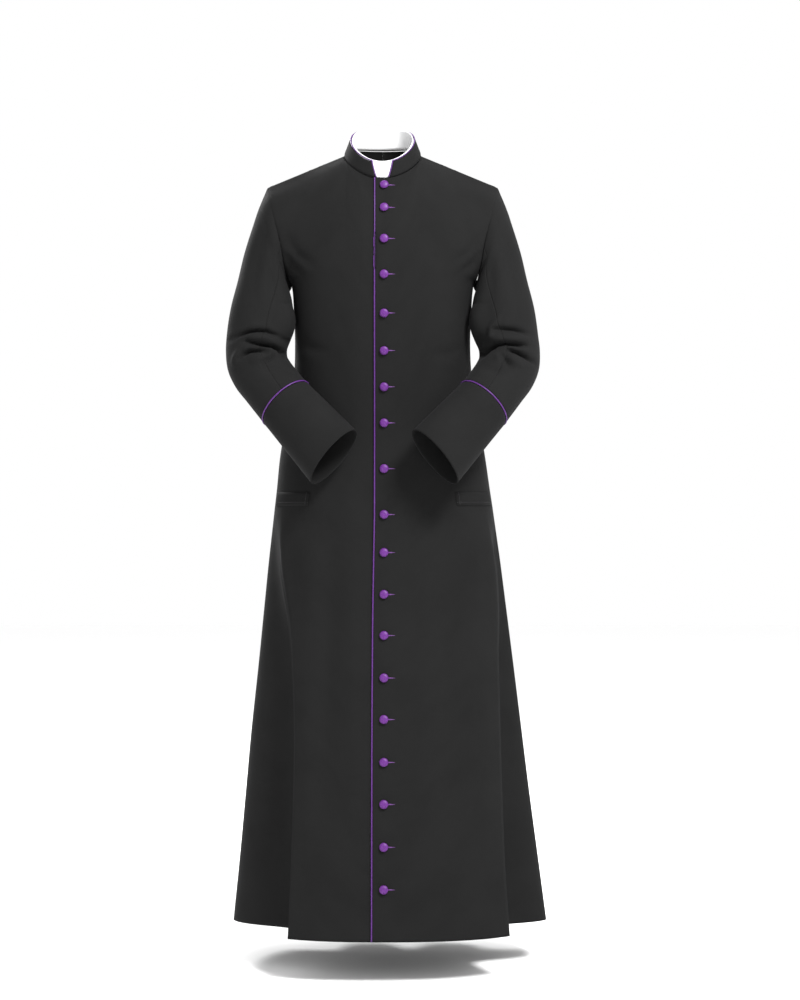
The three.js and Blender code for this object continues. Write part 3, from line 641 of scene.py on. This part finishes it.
def add_node(material, kind, settings=None, **links):
    """Adds a node; settings are its properties, links its inputs: a value or another node's output."""
    node = material.node_tree.nodes.new(kind)
    for key, value in (settings or {}).items():
        setattr(node, key, value)
    for key, value in links.items():
        socket = node.inputs[int(key[1:]) if key[0] == "_" else key.replace("_", " ")]
        if isinstance(value, bpy.types.NodeSocket):
            material.node_tree.links.new(value, socket)
        else:
            socket.default_value = value
    return node


def new_material(name):
    material = bpy.data.materials.new(name)
    material.use_nodes = True
    shader = material.node_tree.nodes["Principled BSDF"]
    return material, shader


def link(material, output, socket):
    material.node_tree.links.new(output, socket)


def colour_ramp(material, factor, low, high, start=0.0, end=1.0):
    ramp = add_node(material, "ShaderNodeValToRGB", Fac=factor)
    ramp.color_ramp.elements[0].position, ramp.color_ramp.elements[0].color = start, srgb(low)
    ramp.color_ramp.elements[1].position, ramp.color_ramp.elements[1].color = end, srgb(high)
    return ramp.outputs["Color"]


def twill(material, rib_mm, tilt):
    """Diagonal ribs of a twill weave, in the cloth's own flat measure."""
    weave = add_node(material, "ShaderNodeAttribute", {"attribute_name": "weave"})
    turned = add_node(material, "ShaderNodeMapping", Vector=weave.outputs["Vector"], Rotation=(0, 0, tilt))
    scale = 2 * math.pi / (20 * rib_mm * MM)      # at scale 1 the bands are pi/10 apart
    ribs = add_node(material, "ShaderNodeTexWave", {"wave_type": "BANDS", "bands_direction": "X"},
                    Vector=turned.outputs["Vector"], Scale=scale, Distortion=0.6, Detail=1.0)
    return weave.outputs["Vector"], ribs.outputs["Fac"]


def times_plus(material, value, factor, added):
    return add_node(material, "ShaderNodeMath", {"operation": "MULTIPLY_ADD"}, _0=value, _1=factor, _2=added)


def press_weave(material, shader, height, strength, depth_mm):
    """The threads' relief, too fine for the mesh."""
    bump = add_node(material, "ShaderNodeBump", Strength=strength, Distance=depth_mm * MM, Height=height)
    link(material, bump.outputs["Normal"], shader.inputs["Normal"])


def wool_twill():
    """Black wool-blend twill, fulled and pressed: matt, with a faint nap that catches light."""
    material, shader = new_material("black_wool_twill")
    # Real ribs are 0.5 mm apart; they are drawn at 1.1 mm so that they show.
    vector, ribs = twill(material, 1.1, math.radians(60))
    dye = add_node(material, "ShaderNodeTexNoise", Vector=vector, Scale=9.0, Detail=4.0, Roughness=0.6)
    slub = add_node(material, "ShaderNodeTexNoise", Vector=vector, Scale=900.0, Detail=2.0)
    mixed = times_plus(material, ribs, 0.35, dye.outputs["Fac"])
    fleck = times_plus(material, slub.outputs["Fac"], 0.4, mixed.outputs["Value"])
    link(material, colour_ramp(material, fleck.outputs["Value"], "#0f0f0f", "#161616", 0.45, 1.15),
         shader.inputs["Base Color"])
    shader.inputs["Roughness"].default_value = 0.88
    shader.inputs["Specular IOR Level"].default_value = 0.1
    shader.inputs["Sheen Weight"].default_value = 0.02
    shader.inputs["Sheen Roughness"].default_value = 0.45
    shader.inputs["Sheen Tint"].default_value = srgb("#c9c9cf")
    height = times_plus(material, slub.outputs["Fac"], 0.5, ribs)
    press_weave(material, shader, height.outputs["Value"], 0.25, 0.25)
    return material


def satin(name, low, high, rib_mm):
    """Polyester satin on the bias, or silk thread: strong colour, a soft gleam along the threads."""
    material, shader = new_material(name)
    vector, ribs = twill(material, rib_mm, math.radians(45))
    tone = add_node(material, "ShaderNodeTexNoise", Vector=vector, Scale=350.0, Detail=3.0)
    mixed = times_plus(material, ribs, 0.4, tone.outputs["Fac"])
    link(material, colour_ramp(material, mixed.outputs["Value"], low, high, 0.3, 1.1),
         shader.inputs["Base Color"])
    shader.inputs["Roughness"].default_value = 0.42
    shader.inputs["Specular IOR Level"].default_value = 0.3
    shader.inputs["Sheen Weight"].default_value = 0.06
    shader.inputs["Sheen Tint"].default_value = srgb("#d8b8ea")
    press_weave(material, shader, mixed.outputs["Value"], 0.3, 0.2)
    return material


def starched_white():
    """White starched cotton over a stiff band: smooth, close to matt."""
    material, shader = new_material("starched_white_cotton")
    vector, ribs = twill(material, 0.6, 0.0)
    tone = add_node(material, "ShaderNodeTexNoise", Vector=vector, Scale=60.0, Detail=2.0)
    link(material, colour_ramp(material, tone.outputs["Fac"], "#dededf", "#ebebeb"),
         shader.inputs["Base Color"])
    shader.inputs["Roughness"].default_value = 0.45
    press_weave(material, shader, ribs, 0.15, 0.1)
    return material


def studio_floor():
    """Pale painted studio floor, smooth and matt."""
    material, shader = new_material("pale_studio_paint")
    place = add_node(material, "ShaderNodeTexCoord")
    tone = add_node(material, "ShaderNodeTexNoise", Vector=place.outputs["Object"], Scale=1.5, Detail=2.0)
    link(material, colour_ramp(material, tone.outputs["Fac"], "#fafafa", "#fcfcfc"),
         shader.inputs["Base Color"])
    shader.inputs["Roughness"].default_value = 0.9
    return material


WOOL = wool_twill()
PIPING = satin("purple_bias_satin", "#2e1045", "#552672", 0.7)
BUTTON_SATIN = satin("purple_button_satin", "#3b0d54", "#591e72", 0.5)
BUTTONHOLE_SILK = satin("purple_buttonhole_silk", "#361449", "#633479", 0.6)
THREAD = satin("black_sewing_thread", "#161617", "#2a2a2b", 0.5)
WHITE = starched_white()


# ---- the sewn pieces ----
def side_name(side):
    return "left" if side > 0 else "right"


ALL_SEWN = dict(top=SEAM, bottom=SEAM, first=SEAM, last=SEAM)


def body_pieces(side):
    shares = np.zeros((1, 1, 1))
    columns = front_columns(side)
    if side < 0:
        shares = np.interp(columns.mean(axis=0), *UNDERLAP_FADE)[None, :, None]
    gaps = dict(ALL_SEWN, first=0, bottom=0)
    front = Piece(f"front_{side_name(side)}", body_grid("front", side, columns), -side, gaps,
                  inset=UNDERLAP_INSET * shares)
    back = Piece(f"back_{side_name(side)}", body_grid("back", side, whole_quarter), side,
                 dict(ALL_SEWN, bottom=0))
    return [front, back]


def arm_pieces(side):
    surface, at = arm_surface(side)
    half = len(ARMHOLE_AT) - 1
    front_seam, back_seam = (int(np.argmin(np.abs(ARMHOLE_AT - column)))
                             for column in (SLEEVE_FRONT_SEAM, 2 * len(YOKE) - SLEEVE_BACK_SEAM))
    first, last = front_seam, 2 * half - back_seam
    cuff_row = int(np.argmin(np.abs(at - (CUFF_START + 1))))
    under = np.arange(first, last + 1)
    upper = np.concatenate([np.arange(last, 2 * half), np.arange(0, first + 1)])
    gaps = dict(ALL_SEWN, bottom=PIPING_ROOM)
    name = side_name(side)
    return [
        Piece(f"sleeve_upper_{name}", surface[:cuff_row + 1][:, upper], side, gaps),
        Piece(f"sleeve_under_{name}", surface[:cuff_row + 1][:, under], side, gaps),
        Piece(f"cuff_{name}", surface[cuff_row:], side, dict(top=PIPING_ROOM), closed=True),
    ]


pieces = [p for side in (1, -1) for p in body_pieces(side) + arm_pieces(side)]
for piece, (_, shared) in zip(pieces, shared_normals(pieces)):
    press_creases(piece, shared)
by_name = {}
for piece, (own, shared) in zip(pieces, shared_normals(pieces)):
    piece.shared = shared
    by_name[piece.name] = piece
    cloth_object(piece, own, shared, WOOL)


def cuff_piping(side):
    cuff = by_name[f"cuff_{side_name(side)}"]
    ring, after = cuff.grid[0], cuff.grid[1]
    down = after - ring
    down /= np.linalg.norm(down, axis=1, keepdims=True)
    cord = cord_parts(ring, cuff.shared[0], down, closed=True)
    return joined(f"cuff_piping_{side_name(side)}", [cord], PIPING)


def front_piping():
    front = by_name["front_left"]
    edge, inner, out = front.grid[:, 0], front.grid[:, 2], front.shared[:, 0]
    aside = edge - inner
    aside /= np.linalg.norm(aside, axis=1, keepdims=True)
    path = edge + aside * PIPING_ROOM - out * PIPING_SINK
    return joined("front_edge_piping", [cord_parts(path, out, aside)], PIPING)


def welt(side):
    """A pocket welt made from the front's own points, moved out."""
    front = by_name[f"front_{side_name(side)}"]
    columns = front_columns(side)[0]
    first, last = (int(np.argmin(np.abs(columns - WELT[key]))) for key in ("first", "last"))
    row_z = front.grid[:, last, 2]
    top, bottom = (int(np.argmin(np.abs(row_z - WELT[key]))) for key in ("top_z", "bottom_z"))
    patch = slice(top, bottom + 1), slice(first, last + 1)
    grid = front.grid[patch] + front.shared[patch] * (WELT["lift"] + CLOTH)
    piece = Piece(f"pocket_welt_{side_name(side)}", grid, front.facing, dict.fromkeys(ALL_SEWN, WELT["edge"]))
    own, shared = shared_normals([piece])[0]
    piece.shared = shared
    by_name[piece.name] = piece
    cloth_object(piece, own, shared, WOOL)
    return piece


piping = [front_piping(), cuff_piping(1), cuff_piping(-1)]
welts = [welt(1), welt(-1)]


# ---- the collar ----
def collar_points(angle, share):
    a = np.radians(angle)
    depth = np.where(np.cos(a) > 0, COLLAR["top_front"], COLLAR["top_back"])
    z = COLLAR["top_z"] - COLLAR["top_slope"] * np.cos(a) - COLLAR["top_sag"] * np.cos(2 * a)
    top = np.stack([COLLAR["top_half_width"] * np.sin(a), -depth * np.cos(a), z], -1)
    share = np.asarray(share)[..., None]
    return neck_points(angle) * (1 - share) + top * share


def collar_grid(rows=9, columns=112):
    """From one side of the notch, round the back, to the other."""
    base = math.degrees(math.asin(COLLAR["notch_base"] / NECK["half_width"]))
    top = math.degrees(math.asin(COLLAR["notch_top"] / COLLAR["top_half_width"]))
    share = np.tile(np.linspace(0, 1, rows)[:, None], (1, columns))
    notch = base + (top - base) * share
    return collar_points(notch + (360 - 2 * notch) * np.linspace(0, 1, columns), share)


collar = Piece("collar", collar_grid(), 1, dict(top=COLLAR["top_gap"]), wall=COLLAR["wall"])
collar_own, collar_shared = shared_normals([collar])[0]
cloth_object(collar, collar_own, collar_shared, WOOL)


def collar_edge(row, column, from_row, from_column):
    """Where the piping runs beside an edge point of the collar, and the directions of its section."""
    point, u = collar.grid[row, column], collar_shared[row, column]
    v = point - collar.grid[from_row, from_column]
    v /= np.linalg.norm(v)
    return point - u * COLLAR["wall"] / 2, u, v


def collar_piping():
    last = len(collar.grid) - 1
    end = collar.grid.shape[1] - 1
    side = [collar_edge(i, 0, i, 1) for i in range(last + 1)]
    top = [collar_edge(last, j, last - 1, j) for j in range(end + 1)]
    other = [collar_edge(i, end, i, end - 1) for i in range(last, -1, -1)]
    stations = list(side)
    for before, after in ((side[-1], top[0]), (top[-1], other[0])):
        corner = []
        for t in (0.25, 0.5, 0.75):
            v = before[2] * (1 - t) + after[2] * t
            corner.append((before[0], before[1], v / np.linalg.norm(v)))
        stations += corner + (top if before is side[-1] else other)
    centre, u, v = (np.array(part) for part in zip(*stations))
    path = centre + v * PIPING_ROOM
    for foot, above in ((0, 1), (-1, -2)):
        rise = collar.grid[1, foot] - collar.grid[0, foot]
        path[foot] += rise / np.linalg.norm(rise) * PIPING_ROOM
    return joined("collar_piping", [cord_parts(path, u, v)], PIPING)


def collar_insert():
    rows, columns = INSERT["rows"], INSERT["columns"]
    share = np.linspace(INSERT["foot"], 1 + INSERT["above"] / COLLAR["height"], rows)
    angle = np.arange(columns) * 360 / columns
    grid = collar_points(np.tile(angle, (rows, 1)), np.tile(share[:, None], (1, columns)))
    insert = Piece("collar_insert", grid, 1, {}, closed=True, wall=INSERT["wall"], inset=INSERT["inside"])
    own, shared = shared_normals([insert])[0]
    cloth_object(insert, own, shared, WHITE)
    return insert


insert = collar_insert()
piping.append(collar_piping())


# ---- buttons, buttonholes and stitches ----
NEAR_EDGE = 30         # fine columns from the lapping edge that buttons and buttonholes sit on
STEP = 4               # the cloth's slope is taken this far above and below a button


def front_at(z, x):
    """Where the lapping front stands at a height and distance from the centre, and its outward side."""
    near_edge = by_name["front_left"].grid[:, :NEAR_EDGE]
    line = np.array([[np.interp(x, row[:, 0], row[:, k]) for k in (1, 2)] for row in near_edge])[::-1]
    below, y, above = np.interp([z - STEP, z, z + STEP], line[:, 1], line[:, 0])
    outward = np.cross([0.0, below - above, -2.0 * STEP], [1.0, 0.0, 0.0])
    return np.array([x, y, z]), outward / np.linalg.norm(outward)


def button(z, number, around=28, rings=9):
    """A domed button covered in satin, turned in at its rim."""
    at, outward = front_at(z, BUTTON["x"])
    dome = np.linspace(0, np.pi / 2, rings)
    r = np.concatenate([[BUTTON["radius"] - BUTTON["turn_in"]], BUTTON["radius"] * np.cos(dome) ** 0.8])
    h = np.concatenate([[0], BUTTON["rim"] + (BUTTON["height"] - BUTTON["rim"]) * np.sin(dome) ** 0.9])
    angle = 2 * np.pi * np.arange(around) / around
    right = np.array([1.0, 0.0, 0.0])
    up = np.cross(outward, right)
    ring = np.cos(angle)[:, None] * right + np.sin(angle)[:, None] * up
    centre = at + outward * BUTTON["lift"]
    points = centre + r[:-1, None, None] * ring + h[:-1, None, None] * outward
    points = np.concatenate([points.reshape(-1, 3), [centre, centre + h[-1] * outward]])
    faces = []
    for k in range(around):
        n = (k + 1) % around
        faces.append((k, len(points) - 2, n))
        for i in range(rings - 1):
            faces.append((i * around + k, i * around + n, (i + 1) * around + n, (i + 1) * around + k))
        faces.append(((rings - 1) * around + k, (rings - 1) * around + n, len(points) - 1))
    flat = points - centre
    weave = np.stack([flat @ right, flat @ up, 0 * flat[:, 0]], -1) + [z, z, 0]
    if np.cross(right, up) @ outward < 0:
        faces = [f[::-1] for f in faces]
    return mesh_object(f"button_{number:02d}", points, faces, BUTTON_SATIN, weave)


def buttonhole(z):
    """The worked bar of a buttonhole, showing beside its button and tapering to its end."""
    x = np.linspace(BUTTONHOLE["start"], BUTTONHOLE["end"], BUTTONHOLE["stations"])
    stations = [front_at(z, value) for value in x]
    path = np.array([at for at, _ in stations])
    u = np.array([out * BUTTONHOLE["flat"] for _, out in stations])
    v = np.tile([0.0, 0.0, 1.0], (len(x), 1))
    radius = BUTTONHOLE["radius"] * np.clip((BUTTONHOLE["end"] + 1 - x) / BUTTONHOLE["taper"], 0.3, 1)
    return cord_parts(path, u, v, radius=radius, sides=8)


def stitches_along(path, out, length=2.4, gap=1.0, radius=0.28):
    """Short raised stitches along a line on the cloth."""
    run = np.insert(np.cumsum(np.linalg.norm(np.diff(path, axis=0), axis=1)), 0, 0)
    parts = []
    for start in np.arange(1, run[-1] - length, length + gap):
        at = np.linspace(start, start + length, 4)
        line = np.stack([np.interp(at, run, path[:, k]) for k in range(3)], -1)
        u = np.stack([np.interp(at, run, out[:, k]) for k in range(3)], -1)
        u /= np.linalg.norm(u, axis=1, keepdims=True)
        v = np.cross(line[-1] - line[0], u)
        v /= np.linalg.norm(v, axis=1, keepdims=True)
        bow = np.array([-0.2, 0.15, 0.15, -0.2])[:, None]
        parts.append(cord_parts(line + u * bow, u, v, radius=radius, sides=5))
    return parts


def welt_stitches():
    """Stitches along the foot and the ends of both welts."""
    parts = []
    for side in (1, -1):
        piece = by_name[f"pocket_welt_{side_name(side)}"]
        parts += stitches_along(piece.outer[-2], piece.shared[-2])
        parts += stitches_along(piece.outer[:, 1], piece.shared[:, 1])
        parts += stitches_along(piece.outer[:, -2], piece.shared[:, -2])
    return parts


buttons = [button(z, number + 1) for number, z in enumerate(BUTTON_Z)]
buttonholes = joined("buttonholes", [buttonhole(z) for z in BUTTON_Z], BUTTONHOLE_SILK)
stitching = joined("welt_stitches", welt_stitches(), THREAD)


# ---- each piece on the body, hiding the parts of model.glb it replaces ----
def placed(piece, slot, *nodes):
    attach(piece, BODY)
    if nodes:
        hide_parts(*nodes)


cloth_pieces = pieces + [collar, insert] + welts
for piece in cloth_pieces:
    placed(piece.object, "white_collar" if piece is insert else "wool_cloth", piece.name)
for cord in piping:
    placed(cord, "purple_piping", cord.name.removeprefix(SEWN))
for one in buttons:
    placed(one, "purple_button_cloth", one.name.removeprefix(SEWN))
placed(buttonholes, "purple_piping")
placed(stitching, "wool_cloth")


# ---- the studio ----
FLOOR_Z = HEM_Z - 78   # the hem hangs this far above the floor
FLOOR_HALF_WIDTH, FLOOR_FRONT, FLOOR_BACK = 9000, -6000, 12000
corners = [(-FLOOR_HALF_WIDTH, FLOOR_FRONT, FLOOR_Z), (FLOOR_HALF_WIDTH, FLOOR_FRONT, FLOOR_Z),
           (FLOOR_HALF_WIDTH, FLOOR_BACK, FLOOR_Z), (-FLOOR_HALF_WIDTH, FLOOR_BACK, FLOOR_Z)]
floor = mesh_object("floor", corners, [(0, 1, 2, 3)], studio_floor())
floor.name = "studio_floor"

world = bpy.data.worlds.new("soft_white_studio")
bpy.context.scene.world = world
world.use_nodes = True
world.node_tree.nodes["Background"].inputs["Color"].default_value = (1.0, 1.0, 1.0, 1.0)
world.node_tree.nodes["Background"].inputs["Strength"].default_value = 1.0


def softbox(name, at, aim, size, power):
    light = bpy.data.lights.new(name, "AREA")
    light.shape, light.size, light.energy = "SQUARE", size, power
    lamp = bpy.data.objects.new(name, light)
    bpy.context.collection.objects.link(lamp)
    from_to = np.array(aim, float) - np.array(at, float)
    yaw = math.atan2(from_to[0], from_to[1])
    pitch = math.atan2(from_to[2], math.hypot(from_to[0], from_to[1]))
    lamp.location = at
    lamp.rotation_euler = (math.pi / 2 + pitch, 0, -yaw)


softbox("key", (1.7, -2.6, 2.3), (0, 0, -0.6), 1.1, 300)
softbox("fill", (-2.4, -4.4, 0.6), (0, 0, -0.8), 2.2, 25)
softbox("back", (-2.2, 3.4, 1.9), (0, 0, -0.6), 1.3, 200)

camera = bpy.data.objects.new("camera", bpy.data.cameras.new("camera"))
bpy.context.collection.objects.link(camera)
camera.location = (0.033, -4.5, -0.654)
camera.rotation_euler = (math.radians(90), 0, 0)
camera.data.sensor_width = 36
camera.data.lens = 85.26
bpy.context.scene.camera = camera
bpy.context.scene.view_settings.view_transform = "Standard"
